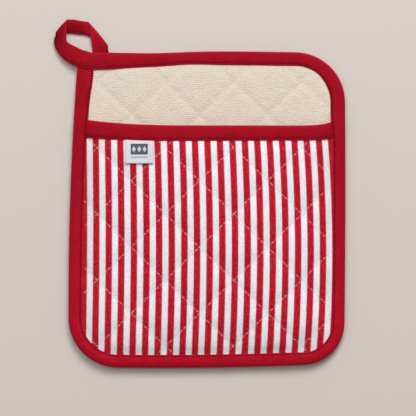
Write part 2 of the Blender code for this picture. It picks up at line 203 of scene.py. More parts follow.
def inward_sides(names):
    """Each stretch of the named runs as (a point on it, its inward normal)."""
    every = np.concatenate(list(RUNS.values()))
    after = np.roll(every, -1, axis=0)
    along = (after - every) / np.linalg.norm(after - every, axis=1)[:, None]
    inward = np.stack([-along[:, 1], along[:, 0]], axis=1)
    wanted = np.concatenate([np.full(len(run), name in names) for name, run in RUNS.items()])
    return every[wanted], inward[wanted]


WHOLE_EDGE = inward_sides(RUNS)
POCKET_EDGE = inward_sides(("left", "low_left", "bottom", "low_right", "right"))


def inset_of(x, y, sides):
    """How far in from the given sides each plan point lies."""
    points, inward = sides
    offsets = (points * inward).sum(axis=1)
    return (np.outer(x, inward[:, 0]) + np.outer(y, inward[:, 1]) - offsets).min(axis=1)


# ---- heights

def arch(x, y):
    """How far the pocket stands off the back: most at the middle of its mouth, as in the frame."""
    low = left_x(y) + BINDING_WIDTH
    high = HALF_WIDTH - BINDING_WIDTH
    across = np.abs(2 * (x - low) / (high - low) - 1)
    along = (y - bottom_y(x) - BINDING_WIDTH) / (mouth_y(x) - bottom_y(x) - BINDING_WIDTH)
    side = np.maximum(0.0, 1 - across**2.2)
    return POCKET_ARCH * side * np.sin(math.pi / 2 * np.clip(along, 0.0, 1.0)) ** 1.2


def pocket_ease(x, y):
    inset = inset_of(x, y, POCKET_EDGE) - BINDING_WIDTH
    return np.sin(math.pi / 2 * np.clip(inset / POCKET_EASE, 0.0, 1.0))


def pocket_middle(x, y):
    """Height of the pocket panel's middle, between its cover and its lining."""
    return EDGE_POCKET_MIDDLE + (POCKET_MIDDLE - EDGE_POCKET_MIDDLE) * pocket_ease(x, y) + arch(x, y)


def pocket_half(x, y):
    """Half the pocket panel's thickness where it is sewn."""
    return EDGE_POCKET_HALF + (POCKET_HALF - EDGE_POCKET_HALF) * pocket_ease(x, y)


def pocket_puff(x, y):
    """How much of the pocket's puff is left near the band and the side bindings."""
    below_band = rising(mouth_y(x) - 11 * MM - y, 0, 9)
    inside = rising(inset_of(x, y, POCKET_EDGE) - BINDING_WIDTH, 0, 7)
    return below_band * inside


def tail_lift(x, y):
    """How far the back is lifted by the loop's end, which is sewn on under the top binding."""
    across = rising(x, -90.5, 5) * rising(-x, 65.5, 5)
    return TAIL_LIFT * across * rising(y, 101, 7)


def back_low(x, y):
    inset = inset_of(x, y, WHOLE_EDGE) - BINDING_WIDTH
    return EDGE_BACK_LOW + REAR_HOLLOW * rising(inset, 0, 12) + tail_lift(x, y)


def back_high(x, y):
    inset = inset_of(x, y, WHOLE_EDGE) - BINDING_WIDTH
    return EDGE_BACK_HIGH - TERRY_HOLLOW * rising(inset, 0, 12) + 0.35 * tail_lift(x, y)


def back_puff(x, y):
    return rising(inset_of(x, y, WHOLE_EDGE) - BINDING_WIDTH, 0, 7)


# ---- materials

def srgb(red, green, blue):
    """A linear colour from 0 to 255 display values."""
    parts = [c / 255 for c in (red, green, blue)]
    return tuple(c / 12.92 if c <= 0.04045 else ((c + 0.055) / 1.055) ** 2.4 for c in parts) + (1.0,)


class Finish:
    """A node material under construction, with short calls for the nodes that the cloths share."""

    def __init__(self, name, roughness=0.85, sheen=0.0, specular=0.08):
        self.material = bpy.data.materials.new(name)
        self.material.use_nodes = True
        self.tree = self.material.node_tree
        self.shader = self.tree.nodes["Principled BSDF"]
        looks = {
            "Roughness": roughness,
            "Specular IOR Level": specular,
            "Sheen Weight": sheen,
            "Sheen Roughness": 0.5,
        }
        for socket, value in looks.items():
            self.shader.inputs[socket].default_value = value
        place = self.tree.nodes.new("ShaderNodeAttribute")
        place.attribute_name = "cloth"
        self.cloth = place.outputs["Vector"]
        split = self.node("ShaderNodeSeparateXYZ", [self.cloth])
        self.across, self.along, self.third = split.outputs

    def node(self, kind, inputs=(), **settings):
        made = self.tree.nodes.new(kind)
        for name, value in settings.items():
            setattr(made, name, value)
        for socket, value in zip(made.inputs, inputs):
            self.put(value, socket)
        return made

    def put(self, value, socket):
        if isinstance(value, bpy.types.NodeSocket):
            self.tree.links.new(value, socket)
        elif value is not None:
            socket.default_value = value

    def math(self, operation, *inputs):
        return self.node("ShaderNodeMath", inputs, operation=operation).outputs[0]

    def times(self, value, factor, plus=None):
        """The value times the factor, with plus added to it if there is one."""
        if plus is None:
            return self.math("MULTIPLY", value, factor)
        return self.math("MULTIPLY_ADD", value, factor, plus)

    def mix(self, factor, first, second, blend="MIX"):
        made = self.node("ShaderNodeMix", data_type="RGBA", blend_type=blend)
        self.put(factor, made.inputs["Factor"])
        self.put(first, made.inputs[6])
        self.put(second, made.inputs[7])
        return made.outputs[2]

    def ramp(self, value, low, high, to_low=0.0, to_high=1.0):
        return self.node("ShaderNodeMapRange", [value, low, high, to_low, to_high]).outputs[0]

    def tones(self, value, low, high, dark, light):
        """A colour between two display colours, as the value goes from low to high."""
        return self.mix(self.ramp(value, low, high), srgb(*dark), srgb(*light))

    def noise(self, size, detail=2.0, roughness=0.5, stretch=(1, 1, 1)):
        """Noise whose features are about size metres across."""
        scaled = self.node("ShaderNodeVectorMath", [self.cloth, stretch], operation="MULTIPLY").outputs[0]
        made = self.node("ShaderNodeTexNoise")
        self.put(scaled, made.inputs["Vector"])
        made.inputs["Scale"].default_value = 1 / size
        made.inputs["Detail"].default_value = detail
        made.inputs["Roughness"].default_value = roughness
        return made.outputs["Fac"]

    def ridges(self, across, along, pitch):
        """Waves of one pitch, numbered by across and along of the cloth: 0 to 1."""
        turn = 2 * math.pi / pitch
        first = self.times(self.across, across * turn)
        phase = self.times(self.along, along * turn, first)
        return self.times(self.math("SINE", phase), 0.5, 0.5)

    def weave(self, pitch, turned=False):
        """A plain weave: each thread rises where it crosses over the other way."""
        if turned:
            slant = 0.7071
            one, other = self.ridges(slant, slant, pitch), self.ridges(slant, -slant, pitch)
        else:
            one, other = self.ridges(1, 0, pitch), self.ridges(0, 1, pitch)
        return self.math("MAXIMUM", one, other)

    def finish(self, colour, height, depth, grain, smoothest, roughest):
        """The finished material: bumps of the given depth, and a roughness that follows the grain."""
        self.put(colour, self.shader.inputs["Base Color"])
        self.put(self.ramp(grain, 0.3, 0.7, smoothest, roughest), self.shader.inputs["Roughness"])
        bump = self.node("ShaderNodeBump")
        bump.inputs["Strength"].default_value = 1.0
        bump.inputs["Distance"].default_value = depth
        self.put(height, bump.inputs["Height"])
        self.tree.links.new(bump.outputs[0], self.shader.inputs["Normal"])
        return self.material


def striped_cotton():
    """Red and white twill: stripes with toothed edges, and speckled slanting threads in the red."""
    f = Finish("striped_cotton")
    teeth = f.math("PINGPONG", f.along, 0.62 * MM)
    teeth = f.times(teeth, 1.15, -0.36 * MM)
    uneven = f.ramp(f.noise(1.5 * MM, 2.0), 0.3, 0.7, -0.14 * MM, 0.14 * MM)
    shifted = f.math("ADD", f.math("ADD", f.across, teeth), uneven)
    away = f.math("PINGPONG", f.math("SUBTRACT", shifted, STRIPE_START), STRIPE_PITCH / 2)
    red_share = f.ramp(away, STRIPE_WHITE / 2 - 0.10 * MM, STRIPE_WHITE / 2 + 0.10 * MM)
    slant = f.ridges(1.0, 0.5, 1.45 * MM)
    level = f.ridges(-0.35, 1.0, 1.35 * MM)
    speckle = f.noise(1.2 * MM, 3.0, 0.7)
    twill = f.times(f.times(slant, level), 0.7, f.times(speckle, 0.75))
    red = f.tones(twill, 0.42, 0.70, (140, 0, 15), (230, 16, 50))
    flecks = f.ramp(f.noise(0.9 * MM, 1.0, 0.5), 0.55, 0.72, 0.0, 0.36)
    red = f.mix(flecks, red, srgb(232, 130, 142))
    white = f.tones(speckle, 0.30, 0.70, (209, 206, 214), (252, 249, 253))
    colour = f.mix(red_share, white, red)
    worn = f.ramp(f.noise(22 * MM, 4.0), 0.3, 0.75, 0.94, 1.03)
    colour = f.mix(1.0, colour, f.node("ShaderNodeCombineXYZ", [worn, worn, worn]).outputs[0], "MULTIPLY")
    threads = f.times(f.weave(0.55 * MM), 0.3, twill)
    return f.finish(colour, threads, 0.12 * MM, speckle, 0.78, 0.95)


def terry_cloth():
    """Cream cotton loops: fine nubs in rough rows, with painted shade that makes them a little darker and
    warmer in the hollows between them.
    """
    f = Finish("terry", sheen=0.1)
    cells = f.node("ShaderNodeTexVoronoi", feature="F1")
    wide = f.node("ShaderNodeVectorMath", [f.cloth, (0.8, 1.3, 1.0)], operation="MULTIPLY").outputs[0]
    f.put(wide, cells.inputs["Vector"])
    cells.inputs["Scale"].default_value = 1 / (1.2 * MM)
    cells.inputs["Randomness"].default_value = 0.8
    nubs = f.ramp(cells.outputs["Distance"], 0.0, 0.75, 1.0, 0.0)
    rows = f.ridges(0.06, 1.0, 1.5 * MM)
    fluff = f.noise(0.9 * MM, 4.0, 0.7)
    patches = f.noise(9 * MM, 3.0)
    height = f.math("ADD", f.times(fluff, 0.6, nubs), f.times(rows, 0.25))
    # painted shade: the colour follows the height, so the hollows between the nubs come out darker
    tone = f.times(patches, 0.3, f.times(height, 0.45))
    colour = f.tones(tone, 0.25, 0.95, (208, 193, 177), (231, 221, 207))
    warm = f.ramp(f.noise(3.5 * MM, 2.0), 0.58, 0.75, 0.0, 0.35)
    colour = f.mix(warm, colour, srgb(226, 201, 168))
    return f.finish(colour, height, 0.28 * MM, fluff, 0.85, 1.0)


def batting():
    """White wadding: matted fibres."""
    f = Finish("batting", sheen=0.3)
    fibres = f.noise(1.6 * MM, 6.0, 0.75, (1, 2.2, 1))
    colour = f.tones(fibres, 0.3, 0.7, (222, 218, 208), (244, 242, 236))
    return f.finish(colour, fibres, 0.6 * MM, fibres, 0.9, 1.0)


def binding_tape():
    """Red cotton bias tape: a fine weave set at 45 degrees, mottled, with soft wear along the fold, and
    painted shade that darkens it a little towards the top and most on the loop's left leg and top stretch.
    """
    f = Finish("binding_tape")
    threads = f.weave(0.6 * MM, turned=True)
    mottle = f.noise(1.2 * MM, 3.0, 0.65)
    broad = f.noise(12 * MM, 3.0)
    tone = f.times(mottle, 0.6, f.times(broad, 0.4))
    colour = f.tones(tone, 0.34, 0.66, (142, 0, 19), (187, 8, 35))
    flecks = f.ramp(f.noise(1.0 * MM, 1.0, 0.5), 0.50, 0.68, 0.0, 0.26)
    colour = f.mix(flecks, colour, srgb(206, 62, 80))
    worn = f.ramp(f.third, 0.0, 1.0, 0.0, 0.35)
    colour = f.mix(worn, colour, srgb(192, 28, 50))
    # painted shade: darker red where the third cloth coordinate falls below zero, towards the top and on the
    # loop's left leg and top stretch
    tape_painted_shade = f.ramp(f.third, -1.0, 0.0, 0.85, 0.0)
    colour = f.mix(tape_painted_shade, colour, srgb(118, 4, 18))
    height = f.math("ADD", mottle, f.times(threads, 0.4))
    return f.finish(colour, height, 0.14 * MM, mottle, 0.74, 0.9)


def sewing_thread(name, dark, light):
    """Twisted thread: slanting plies along its length."""
    f = Finish(name, roughness=0.6)
    plies = f.ridges(1.0, 0.9, 0.5 * MM)
    fuzz = f.noise(0.4 * MM, 3.0)
    colour = f.mix(f.times(plies, 0.6, f.times(fuzz, 0.4)), dark, light)
    return f.finish(colour, plies, 0.06 * MM, fuzz, 0.55, 0.7)


def woven_label():
    """Pale grey woven ribbon with a dark block that holds three pale lozenges, and a line under it."""
    f = Finish("woven_label", sheen=0.05)
    ribs = f.ridges(0, 1, 0.45 * MM)
    fuzz = f.noise(0.6 * MM, 3.0)
    side = f.math("ABSOLUTE", f.across)
    in_frame = f.ramp(side, 6.2 * MM, 6.35 * MM, 1.0, 0.0)
    centred = f.math("ABSOLUTE", f.math("SUBTRACT", f.along, 1.3 * MM))
    block = f.times(in_frame, f.ramp(centred, 3.9 * MM, 4.05 * MM, 1.0, 0.0))
    within = f.math("PINGPONG", f.across, 1.95 * MM)
    lozenge = f.times(centred, 0.62, within)
    in_row = f.ramp(side, 5.85 * MM, 5.9 * MM, 1.0, 0.0)
    lozenges = f.times(f.ramp(lozenge, 1.35 * MM, 1.55 * MM, 1.0, 0.0), in_row)
    line = f.math("ABSOLUTE", f.math("ADD", f.along, 4.6 * MM))
    line = f.times(f.ramp(line, 0.3 * MM, 0.42 * MM, 0.7, 0.0), in_frame)
    grain = f.times(ribs, 0.5, f.times(fuzz, 0.5))
    ground = f.mix(grain, srgb(196, 196, 205), srgb(221, 221, 228))
    grey = f.mix(grain, srgb(70, 72, 78), srgb(98, 100, 106))
    share = f.math("MAXIMUM", f.math("SUBTRACT", block, f.times(lozenges, 0.85)), line)
    colour = f.mix(share, ground, grey)
    height = f.times(ribs, 0.7, fuzz)
    return f.finish(colour, height, 0.08 * MM, fuzz, 0.6, 0.8)


MATERIALS = {
    "striped_cotton": striped_cotton(),
    "batting": batting(),
    "terry": terry_cloth(),
    "quilting_thread": sewing_thread("quilting_thread", srgb(196, 168, 172), srgb(240, 222, 224)),
    "binding_tape": binding_tape(),
    # The seam thread's near-black red is partly its own colour and partly painted shade, for the shadows in
    # the needle holes and the seam's groove.
    "seam_thread": sewing_thread("seam_thread", srgb(40, 2, 9), srgb(72, 4, 15)),
    "woven_label": woven_label(),
}


# ---- pieces

def show(name, data):
    """A new object of the scene."""
    made = bpy.data.objects.new(name, data)
    bpy.context.scene.collection.objects.link(made)
    return made


def new_piece(name, points, faces, slot, cloth=None):
    """A smooth mesh object with its material and its cloth coordinates."""
    mesh = bpy.data.meshes.new(name)
    mesh.from_pydata([tuple(p) for p in points], [], [tuple(int(i) for i in f) for f in faces])
    mesh.validate()
    piece = show(name, mesh)
    mesh.materials.append(MATERIALS[slot])
    mesh.shade_smooth()
    if cloth is not None:
        set_cloth(piece, cloth)
    return piece


def set_cloth(piece, coordinates):
    """Stores where each point lies on its flat cloth, which the material reads."""
    old = piece.data.attributes.get("cloth")
    if old:
        piece.data.attributes.remove(old)
    attribute = piece.data.attributes.new("cloth", "FLOAT_VECTOR", "POINT")
    attribute.data.foreach_set("vector", np.asarray(coordinates, np.float32).ravel())


def points_of(piece):
    flat = np.zeros(len(piece.data.vertices) * 3, np.float32)
    piece.data.vertices.foreach_get("co", flat)
    return flat.reshape(-1, 3).astype(float)


def move_points(piece, points):
    piece.data.vertices.foreach_set("co", np.asarray(points, np.float32).ravel())
    piece.data.update()


def apply_modifiers(piece):
    """Bakes the piece's modifiers into its mesh."""
    graph = bpy.context.evaluated_depsgraph_get()
    mesh = bpy.data.meshes.new_from_object(piece.evaluated_get(graph))
    old = piece.data
    piece.modifiers.clear()
    piece.data = mesh
    bpy.data.meshes.remove(old)
    mesh.name = piece.name


def subdivide(piece, levels):
    modifier = piece.modifiers.new("rounder", "SUBSURF")
    modifier.levels = levels
    modifier.render_levels = levels
    apply_modifiers(piece)


def thicken(piece, thickness):
    """Gives an open sheet its thickness, on the side away from its faces' normals."""
    modifier = piece.modifiers.new("thickness", "SOLIDIFY")
    modifier.thickness = thickness
    modifier.offset = -1
    apply_modifiers(piece)
    piece.data.shade_smooth()


def surface_of(piece):
    mesh = piece.data
    return BVHTree.FromPolygons([v.co for v in mesh.vertices], [p.vertices for p in mesh.polygons])


def bend_with_pocket(piece):
    """Bakes the piece's placement into its mesh and reads its points."""
    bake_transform(piece)
    points = points_of(piece)


def swing_with_loop(piece):
    """Bakes the piece's placement into its mesh and reads its points."""
    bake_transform(piece)
    points = points_of(piece)


# ---- quilted cloths

def lattice_place(p, q):
    return QUILT_X + QUILT_STEP_X * (p + q), QUILT_Y + QUILT_STEP_Y * (q - p)


def lattice_numbers(x, y):
    a = (x - QUILT_X) / QUILT_STEP_X
    b = (y - QUILT_Y) / QUILT_STEP_Y
    return (a - b) / 2, (a + b) / 2


CELLS = 12  # grid steps between two lines of quilting
REACH = 7  # lines of quilting each way from the middle


def quilt_grid(sides, inset, high_y=None):
    """Plan points, faces and border of a grid along the quilting, cut to the sides moved in by inset."""
    count = 2 * REACH * CELLS + 1
    steps = np.linspace(-REACH, REACH, count)
    p, q = np.meshgrid(steps, steps, indexing="ij")
    x, y = lattice_place(p.ravel(), q.ravel())
    near = inset_of(x, y, sides) > inset - 5 * MM
    if high_y is not None:
        near &= y < high_y + 5 * MM
    bm = bmesh.new()
    verts = {}
    for i in np.flatnonzero(near):
        verts[i] = bm.verts.new((x[i], y[i], 0))
    for i in list(verts):
        corners = (i, i + count, i + count + 1, i + 1)
        if all(c in verts for c in corners):
            bm.faces.new([verts[c] for c in corners])
    points, inward = sides
    cuts = [(point + way * inset, -way) for point, way in zip(points, inward)]
    if high_y is not None:
        cuts.append(((0.0, high_y), (0.0, 1.0)))
    for place, outward in cuts:
        geometry = bm.verts[:] + bm.edges[:] + bm.faces[:]
        bmesh.ops.bisect_plane(
            bm, geom=geometry, dist=1e-6, plane_co=(*place, 0), plane_no=(*outward, 0), clear_outer=True
        )
    bmesh.ops.remove_doubles(bm, verts=bm.verts[:], dist=0.25 * MM)
    bm.verts.ensure_lookup_table()
    plan = np.array([v.co[:2] for v in bm.verts], float)
    faces = [[v.index for v in f.verts] for f in bm.faces]
    border = np.array([v.is_boundary for v in bm.verts])
    bm.free()
    return plan, faces, border


SIM_SCALE = 10
SIM_FRAMES = 20
SIM_CLOTH = dict(
    quality=6, mass=0.3, tension_stiffness=12, compression_stiffness=12, shear_stiffness=6,
    bending_stiffness=0.6, vertex_group_mass="sewn", use_pressure=True,
)


def puff(plan, faces, held, pressure, slack, cap):
    """How a flat cloth swells between its sewn lines: displacements of its points, by cloth simulation."""
    mesh = bpy.data.meshes.new("swelling")
    mesh.from_pydata([(x * SIM_SCALE, y * SIM_SCALE, 0) for x, y in plan], [], faces)
    cloth = show("swelling", mesh)
    group = cloth.vertex_groups.new(name="sewn")
    group.add([int(i) for i in np.flatnonzero(held)], 1.0, "REPLACE")
    modifier = cloth.modifiers.new("swelling", "CLOTH")
    settings = modifier.settings
    for setting, value in SIM_CLOTH.items():
        setattr(settings, setting, value)
    settings.shrink_min = -slack
    settings.uniform_pressure_force = pressure
    settings.effector_weights.gravity = 0
    modifier.collision_settings.use_collision = False
    scene = bpy.context.scene
    for step in range(1, SIM_FRAMES + 1):
        scene.frame_set(step)
    graph = bpy.context.evaluated_depsgraph_get()
    swollen = cloth.evaluated_get(graph).to_mesh()
    flat = np.zeros(len(swollen.vertices) * 3, np.float32)
    swollen.vertices.foreach_get("co", flat)
    moved = flat.reshape(-1, 3) / SIM_SCALE
    bpy.data.objects.remove(cloth)
    bpy.data.meshes.remove(mesh)
    scene.frame_set(1)
    shift = moved - np.column_stack([plan, np.zeros(len(plan))])
    shift[:, 2] = cap * np.tanh(shift[:, 2] / cap)
    return shift


def sewn_points(plan, border):
    """Which points are held: on a line of quilting, or at the cloth's border."""
    p, q = lattice_numbers(plan[:, 0], plan[:, 1])
    on_line = (np.abs(p - np.round(p)) < 0.01) | (np.abs(q - np.round(q)) < 0.01)
    return on_line | border


def stripe_coordinates(points):
    """Where each point lies on the striped cloth, which is sewn on with slightly bowed and fanned stripes."""
    x, y = points[:, 0], points[:, 1]
    across = (x + 86 * MM) / (174 * MM)
    along = (y + 22.6 * MM) / (73.5 * MM)
    bow = (0.66 + 1.84 * across) * (1 - along**2)
    fan = 0.44 - 0.33 * across - along * (0.92 * across - 0.22)
    return np.column_stack([x - (bow + fan) * MM, y, 0 * x])


def plain_coordinates(points):
    return points * (1, 1, 0)


def upward(faces, up):
    return faces if up else [f[::-1] for f in faces]


def nub_at(x, y):
    """Unevenness of the terry's loops at a plan point."""
    return noise.noise((x * 900, y * 1100, 0.5)) + 0.5 * noise.noise((x * 2100, y * 2100, 3))


def quilted_sheet(name, slot, points, faces, thickness, coordinates, up, levels=1, nubs=0.0):
    """One quilted cloth from its outer face: rounded, roughened if it is terry, and given its thickness."""
    piece = new_piece(name, points, upward(faces, up), slot)
    subdivide(piece, levels)
    if nubs:
        rounded = points_of(piece)
        height = [nub_at(x, y) for x, y, _ in rounded]
        rounded[:, 2] += nubs * np.array(height) * (1 if up else -1)
        move_points(piece, rounded)
    thicken(piece, thickness)
    set_cloth(piece, coordinates(points_of(piece)))
    return piece


def padding(name, low_points, high_points, faces):
    """A pad between two cloths: two faces of one grid joined round the border."""
    count = len(low_points)
    every = upward(faces, False) + [[i + count for i in f] for f in faces] + border_quads(faces, count)
    points = np.concatenate([low_points, high_points])
    return new_piece(name, points, every, "batting", plain_coordinates(points))


def border_quads(faces, count):
    """The side faces that join a grid to its copy above, along the grid's open edges."""
    edges = {}
    for f in faces:
        for a, b in zip(f, f[1:] + f[:1]):
            edges[a, b] = True
    return [[a, b, b + count, a + count] for a, b in edges if (b, a) not in edges]


# Pocket panel.
POCKET_TOP_Y = MOUTH_Y - 0.8 * MM
CLOTH_INSET = 4.5 * MM  # how far the cloths' cut edges lie inside the outline, within the binding
POCKET_PAD_LEAST = 0.2 * MM
BACK_PAD_LEAST = 0.3 * MM
REAR_LOWEST = 0.12 * MM
plan, faces, border = quilt_grid(POCKET_EDGE, CLOTH_INSET, POCKET_TOP_Y)
held = sewn_points(plan, border)
rise = puff(plan, faces, held, pressure=3.0, slack=0.04, cap=2.2 * MM)
x, y = plan[:, 0], plan[:, 1]
share = pocket_puff(x, y)[:, None]
middle, half = pocket_middle(x, y), pocket_half(x, y)
flat_top = np.column_stack([plan, middle + half])
flat_low = np.column_stack([plan, middle - half])
cover_points = flat_top + rise * share
lining_points = flat_low - rise * share * (0, 0, 0.5)
pocket_cover = quilted_sheet(
    "pocket_cover_cloth", "striped_cotton", cover_points, faces, COVER, stripe_coordinates, up=True
)
pocket_lining = quilted_sheet(
    "pocket_lining_terry", "terry", lining_points, faces, POCKET_TERRY, plain_coordinates, up=False,
    nubs=0.25 * MM,
)
top_of_pad = cover_points - (0, 0, COVER + AIR)
low_of_pad = np.minimum(lining_points + (0, 0, POCKET_TERRY + AIR), top_of_pad - (0, 0, POCKET_PAD_LEAST))
pocket_pad = padding("pocket_wadding", low_of_pad, top_of_pad, faces)

# Back panel.
plan, faces, border = quilt_grid(WHOLE_EDGE, CLOTH_INSET)
held = sewn_points(plan, border)
high_rise = puff(plan, faces, held, pressure=1.4, slack=0.02, cap=0.9 * MM)
low_rise = puff(plan, faces, held, pressure=2.6, slack=0.04, cap=1.7 * MM)
x, y = plan[:, 0], plan[:, 1]
share = back_puff(x, y)[:, None]
terry_points = np.column_stack([plan, back_high(x, y)]) + high_rise * share
rear_points = np.column_stack([plan, back_low(x, y)]) - low_rise * share * (-1, -1, 1)
rear_points[:, 2] = np.maximum(rear_points[:, 2], REAR_LOWEST)
back_terry = quilted_sheet(
    "back_lining_terry", "terry", terry_points, faces, TERRY, plain_coordinates, up=True,
    levels=2, nubs=0.16 * MM,
)
back_cover = quilted_sheet(
    "back_cover_cloth", "striped_cotton", rear_points, faces, COVER, stripe_coordinates, up=False
)
top_of_pad = terry_points - (0, 0, TERRY + AIR)
low_of_pad = np.minimum(rear_points + (0, 0, COVER + AIR), top_of_pad - (0, 0, BACK_PAD_LEAST))
back_pad = padding("back_wadding", low_of_pad, top_of_pad, faces)


# ---- tapes

def curve_through(stations, steps):
    """A smooth curve through rows of numbers, with steps points to each stretch and its last row kept."""
    rows = np.asarray(stations, float)
    rows = np.vstack([2 * rows[0] - rows[1], rows, 2 * rows[-1] - rows[-2]])
    made = []
    for a, b, c, d in zip(rows, rows[1:], rows[2:], rows[3:]):
        for t in np.linspace(0, 1, steps, endpoint=False):
            square = (2 * a - 5 * b + 4 * c - d) * t**2
            cube = (3 * b - a - 3 * c + d) * t**3
            made.append(0.5 * (2 * b + (c - a) * t + square + cube))
    made.append(rows[-2])
    return np.array(made)


LEG = (1.0, 0.93, 0.87, 0.80, 0.68, 0.55, 0.42)  # shares of the width, from the free edge to the round
ROUND_STEPS = 10
ROUND_POWER = 0.85  # under 1 squares the round of the fold a little
TAPE_SWELL = 0.6 * MM
GROOVE = 0.3 * MM  # how deep the seam sinks into the tape
GROOVE_WIDTH = 0.7 * MM
INNER_LEAST = 0.04 * MM  # half the gap that is left within the fold
LIP = 0.28 * MM  # how far the rounded free edge stands out
WEAR_WIDTH = 1.2 * MM  # how far wear reaches from the fold


def tape_section(width, half, groove, inset):
    """A folded tape's section as rows of (distance from the fold, height): outer skin, then inner skin."""
    radius = min(half, TAPE_ROUND)
    skin = []
    for share in LEG:
        dip = groove * math.exp(-(((share - 1) * width + inset) / GROOVE_WIDTH) ** 2)
        swell = TAPE_SWELL * math.sin(math.pi * min(1.0, max(0.0, (1 - share) * 1.15)))
        skin.append((share * width, half - dip + swell * min(1.0, half / (2 * MM))))
    turn = []
    for k in range(1, ROUND_STEPS):
        angle = math.pi / 2 - math.pi * k / ROUND_STEPS
        across = 1 - abs(math.cos(angle)) ** ROUND_POWER
        height = abs(math.sin(angle)) ** ROUND_POWER
        turn.append((radius * across, half * math.copysign(height, math.sin(angle))))
    lower = [(d, -h) for d, h in skin[::-1]]
    inner_half = max(half - TAPE, INNER_LEAST)
    inner_start = min(radius, half) * 0.6 + TAPE
    inner = [
        (width, -max(skin[0][1] - TAPE, INNER_LEAST)),
        (width * 0.7, -inner_half),
        (inner_start + 1 * MM, -inner_half),
    ]
    nose = [(inner_start, -inner_half * 0.6), (inner_start - 0.2 * MM, 0.0), (inner_start, inner_half * 0.6)]
    back = [(d, -h) for d, h in inner[::-1]]
    lip = skin[0][1] - TAPE * 0.45
    return skin + turn + lower + [(width + LIP, -lip)] + inner + nose + back + [(width + LIP, lip)]


def wrinkle_at(point):
    """Unevenness of a tape at a place: broad soft folds and finer puckers, from about -1 to 1."""
    return (
        noise.noise(point * 75) + 0.7 * noise.noise(point * 190 + Vector((3, 7, 1)))
        + 0.35 * noise.noise(point * 480 + Vector((5, 1, 9)))
    )


def painted_shade_at(point):
    """How much painted shade darkens the tape: a little more towards the top, and most on the loop's left leg
    and top stretch, standing in for the shade on their faces.
    """
    beyond_top = rising(point.y, 117, 7)
    on_loop = 0.25 + 0.75 * rising(-point.x, 86, 7)
    on_body = 0.48 * rising(point.y, -110, 210)
    return on_body + (on_loop - on_body) * beyond_top


def tube_faces(rings, sides, base=0):
    """Faces of a tube whose rings of points are numbered from base, and a cap at each end."""
    faces = []
    last = base + (rings - 1) * sides
    for start in range(base, last, sides):
        for i in range(sides):
            j = (i + 1) % sides
            faces.append((start + i, start + j, start + sides + j, start + sides + i))
    return faces + [tuple(range(base, base + sides))[::-1], tuple(range(last, last + sides))]


def sweep_tape(name, stations, wrinkle, start_length=0.0):
    """A folded tape through stations: fold, free edge, up, half height, groove and the seam's inset."""
    rings = []
    cloth = []
    run = start_length
    before = None
    for fold, free, up, half, groove, inset in stations:
        width = (free - fold).length
        across = (free - fold) / width
        middle = (fold + free) / 2
        if before is not None:
            run += (middle - before).length
        before = middle
        section = tape_section(width, half, groove, inset)
        ring = []
        for number, (d, h) in enumerate(section):
            point = fold + across * d + up * h
            if number < len(LEG) + ROUND_STEPS:
                point = point + up * wrinkle * wrinkle_at(point) * (1 if h > 0 else -1)
            point.z = max(point.z, TAPE_LOW)
            ring.append(point)
            side = 1 if number < len(LEG) + ROUND_STEPS // 2 else -1
            wear = math.exp(-((d / WEAR_WIDTH) ** 2))
            # the third cloth coordinate is wear along the fold less the painted shade
            cloth.append((side * d, run, wear - painted_shade_at(point)))
        rings.append(ring)
    points = [p for ring in rings for p in ring]
    piece = new_piece(name, points, tube_faces(len(rings), len(rings[0])), "binding_tape", cloth)
    bm = bmesh.new()
    bm.from_mesh(piece.data)
    bmesh.ops.recalc_face_normals(bm, faces=bm.faces)
    bm.faces.ensure_lookup_table()
    for end in (bm.faces[-1], bm.faces[-2]):
        for edge in end.edges:
            edge.smooth = False
    bm.to_mesh(piece.data)
    bm.free()
    return piece


UP = Vector((0, 0, 1))
LOOP_START_X = -83.8 * MM
TOP_DENT = 1.1 * MM
SCALLOP = 0.12 * MM  # how far the seam draws in the tape's free edge at each stitch


def face_width(name, place):
    """Width of the edge tape's face where it lies at a plan point."""
    x, y = place
    if name == "left":
        wider = 0.8 * rising(y, 52, 18) + 0.6 * rising(y, 78, 12) + 1.2 * rising(y, 80, 22)
        return (9.8 + wider) * MM
    if name in ("right", "low_right"):
        return (9.0 + 1.6 * rising(y, 52, 15)) * MM
    if name == "high_right":
        return (9.8 + 0.8 * rising(x, 88, 10)) * MM
    if name == "top":
        return (10.0 - bell(x, -14, 16) + 2.5 * rising(-x, 36, 44)) * MM
    return BINDING_WIDTH


def tape_heights(name, place):
    """Lowest and highest face of the edge tape at a plan point."""
    x, y = place
    pocket = rising(mouth_y(x) + 9 * MM - y, 0, 10)
    high = TAPE_TOP_TERRY + (TAPE_TOP_POCKET - TAPE_TOP_TERRY) * pocket
    low = TAPE_LOW
    if name in ("left", "right"):
        high += OVER_BAND * bell(y - mouth_y(x), -5, 8)
    if name == "left":
        under = rising(y, 96, 9)
        high -= 0.6 * MM * under
        low += 0.75 * MM * under
    if name == "top":
        over = rising(-x, 58, 14)
        high += (TAPE_TOP_CORNER - TAPE_TOP_TERRY) * over
        low += tail_lift(x, y - 2 * MM)
    return low, high


def lengths_along(line):
    """How far along a line each of its points lies."""
    return np.concatenate([[0], np.cumsum(np.linalg.norm(np.diff(line, axis=0), axis=1))])


STATION_STEP = 1.0 * MM
EVEN_REACH = 8  # stations each way that the tape's widths and insets are evened over


